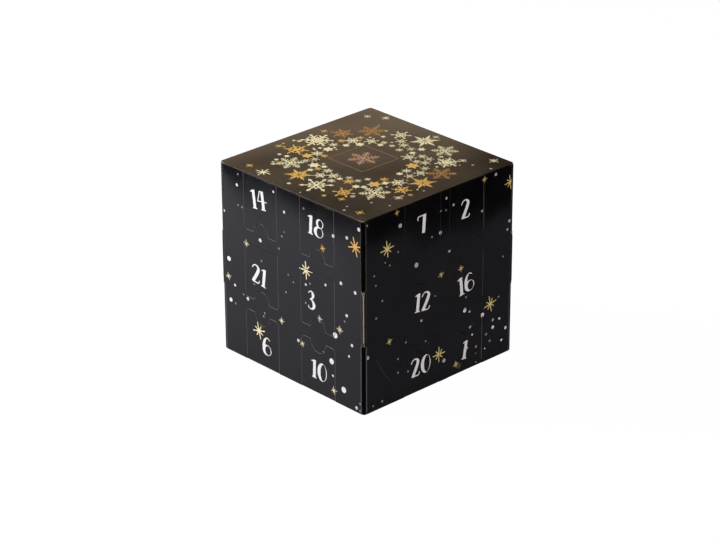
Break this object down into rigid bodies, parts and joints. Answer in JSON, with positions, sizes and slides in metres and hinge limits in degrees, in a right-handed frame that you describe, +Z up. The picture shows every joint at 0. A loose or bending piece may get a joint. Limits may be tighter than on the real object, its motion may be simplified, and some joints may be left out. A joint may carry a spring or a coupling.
{
  "type": "advent calendar",
  "caption": "Cube-shaped carton of thin printed board with die-cut numbered doors on four sides that open on creases over tray cavities with moulded chocolates.",
  "frame": {"origin": "middle of the base, on the table", "axes": "+Z up; -Y out of the front wall (doors 14, 18, 21, 3, 6, 10); +X out of the right wall (doors 7, 2, 12, 16, 20, 1), from which the top panel is folded over"},
  "size_m": [0.12, 0.12, 0.12],
  "materials": {
    "board": "satin",
    "top_board": "satin",
    "tray": "satin",
    "chocolate": "satin"
  },
  "bodies": {
    "root": {"carton": "board", "top_panel": "top_board", "tray_front": "tray", "tray_right": "tray", "tray_back": "tray", "tray_left": "tray", "chocolate_01": "chocolate", "chocolate_02": "chocolate", "chocolate_03": "chocolate", "chocolate_04": "chocolate", "chocolate_05": "chocolate", "chocolate_06": "chocolate", "chocolate_07": "chocolate", "chocolate_08": "chocolate", "chocolate_09": "chocolate", "chocolate_10": "chocolate", "chocolate_11": "chocolate", "chocolate_12": "chocolate", "chocolate_13": "chocolate", "chocolate_14": "chocolate", "chocolate_15": "chocolate", "chocolate_16": "chocolate", "chocolate_17": "chocolate", "chocolate_18": "chocolate", "chocolate_19": "chocolate", "chocolate_20": "chocolate", "chocolate_21": "chocolate", "chocolate_22": "chocolate", "chocolate_23": "chocolate", "chocolate_24": "chocolate"},
    "door_01": {"door_01": "board"},
    "door_02": {"door_02": "board"},
    "door_03": {"door_03": "board"},
    "door_04": {"door_04": "board"},
    "door_05": {"door_05": "board"},
    "door_06": {"door_06": "board"},
    "door_07": {"door_07": "board"},
    "door_08": {"door_08": "board"},
    "door_09": {"door_09": "board"},
    "door_10": {"door_10": "board"},
    "door_11": {"door_11": "board"},
    "door_12": {"door_12": "board"},
    "door_13": {"door_13": "board"},
    "door_14": {"door_14": "board"},
    "door_15": {"door_15": "board"},
    "door_16": {"door_16": "board"},
    "door_17": {"door_17": "board"},
    "door_18": {"door_18": "board"},
    "door_19": {"door_19": "board"},
    "door_20": {"door_20": "board"},
    "door_21": {"door_21": "board"},
    "door_22": {"door_22": "board"},
    "door_23": {"door_23": "board"},
    "door_24": {"door_24": "board"}
  },
  "joints": [
    {"name": "crease_01", "type": "hinge", "parent": "root", "child": "door_01", "pos_m": [0.06, 0.0215, 0], "axis": [0, 1, 0], "range_deg": [0, 90]},
    {"name": "crease_02", "type": "hinge", "parent": "root", "child": "door_02", "pos_m": [0.06, 0.0215, 0.12], "axis": [0, -1, 0], "range_deg": [0, 150]},
    {"name": "crease_03", "type": "hinge", "parent": "root", "child": "door_03", "pos_m": [0.0222, -0.06, 0.07556], "axis": [-1, 0, 0], "range_deg": [0, 150]},
    {"name": "crease_04", "type": "hinge", "parent": "root", "child": "door_04", "pos_m": [-0.0222, 0.06, 0.07556], "axis": [1, 0, 0], "range_deg": [0, 150]},
    {"name": "crease_05", "type": "hinge", "parent": "root", "child": "door_05", "pos_m": [-0.06, 0.014, 0.11915], "axis": [0, 1, 0], "range_deg": [0, 150]},
    {"name": "crease_06", "type": "hinge", "parent": "root", "child": "door_06", "pos_m": [-0.0255, -0.06, 0], "axis": [1, 0, 0], "range_deg": [0, 90]},
    {"name": "crease_07", "type": "hinge", "parent": "root", "child": "door_07", "pos_m": [0.06, -0.014, 0.12], "axis": [0, -1, 0], "range_deg": [0, 150]},
    {"name": "crease_08", "type": "hinge", "parent": "root", "child": "door_08", "pos_m": [-0.06, -0.0215, 0.03975], "axis": [0, -1, 0], "range_deg": [0, 115]},
    {"name": "crease_09", "type": "hinge", "parent": "root", "child": "door_09", "pos_m": [0.0255, 0.06, 0.11915], "axis": [1, 0, 0], "range_deg": [0, 150]},
    {"name": "crease_10", "type": "hinge", "parent": "root", "child": "door_10", "pos_m": [0.0222, -0.06, 0], "axis": [1, 0, 0], "range_deg": [0, 90]},
    {"name": "crease_11", "type": "hinge", "parent": "root", "child": "door_11", "pos_m": [-0.0222, 0.06, 0], "axis": [-1, 0, 0], "range_deg": [0, 90]},
    {"name": "crease_12", "type": "hinge", "parent": "root", "child": "door_12", "pos_m": [0.06, -0.014, 0.03975], "axis": [0, 1, 0], "range_deg": [0, 115]},
    {"name": "crease_13", "type": "hinge", "parent": "root", "child": "door_13", "pos_m": [-0.06, 0.014, 0], "axis": [0, -1, 0], "range_deg": [0, 90]},
    {"name": "crease_14", "type": "hinge", "parent": "root", "child": "door_14", "pos_m": [-0.0255, -0.06, 0.11915], "axis": [-1, 0, 0], "range_deg": [0, 150]},
    {"name": "crease_15", "type": "hinge", "parent": "root", "child": "door_15", "pos_m": [0.0255, 0.06, 0.07556], "axis": [1, 0, 0], "range_deg": [0, 150]},
    {"name": "crease_16", "type": "hinge", "parent": "root", "child": "door_16", "pos_m": [0.06, 0.0215, 0.03975], "axis": [0, 1, 0], "range_deg": [0, 115]},
    {"name": "crease_17", "type": "hinge", "parent": "root", "child": "door_17", "pos_m": [-0.06, -0.0215, 0], "axis": [0, -1, 0], "range_deg": [0, 90]},
    {"name": "crease_18", "type": "hinge", "parent": "root", "child": "door_18", "pos_m": [0.0222, -0.06, 0.11915], "axis": [-1, 0, 0], "range_deg": [0, 150]},
    {"name": "crease_19", "type": "hinge", "parent": "root", "child": "door_19", "pos_m": [-0.06, -0.0215, 0.11915], "axis": [0, 1, 0], "range_deg": [0, 150]},
    {"name": "crease_20", "type": "hinge", "parent": "root", "child": "door_20", "pos_m": [0.06, -0.014, 0], "axis": [0, 1, 0], "range_deg": [0, 90]},
    {"name": "crease_21", "type": "hinge", "parent": "root", "child": "door_21", "pos_m": [-0.0255, -0.06, 0.07556], "axis": [-1, 0, 0], "range_deg": [0, 150]},
    {"name": "crease_22", "type": "hinge", "parent": "root", "child": "door_22", "pos_m": [-0.0222, 0.06, 0.11915], "axis": [1, 0, 0], "range_deg": [0, 150]},
    {"name": "crease_23", "type": "hinge", "parent": "root", "child": "door_23", "pos_m": [-0.06, 0.014, 0.03975], "axis": [0, -1, 0], "range_deg": [0, 115]},
    {"name": "crease_24", "type": "hinge", "parent": "root", "child": "door_24", "pos_m": [0.0255, 0.06, 0], "axis": [-1, 0, 0], "range_deg": [0, 90]}
  ]
}
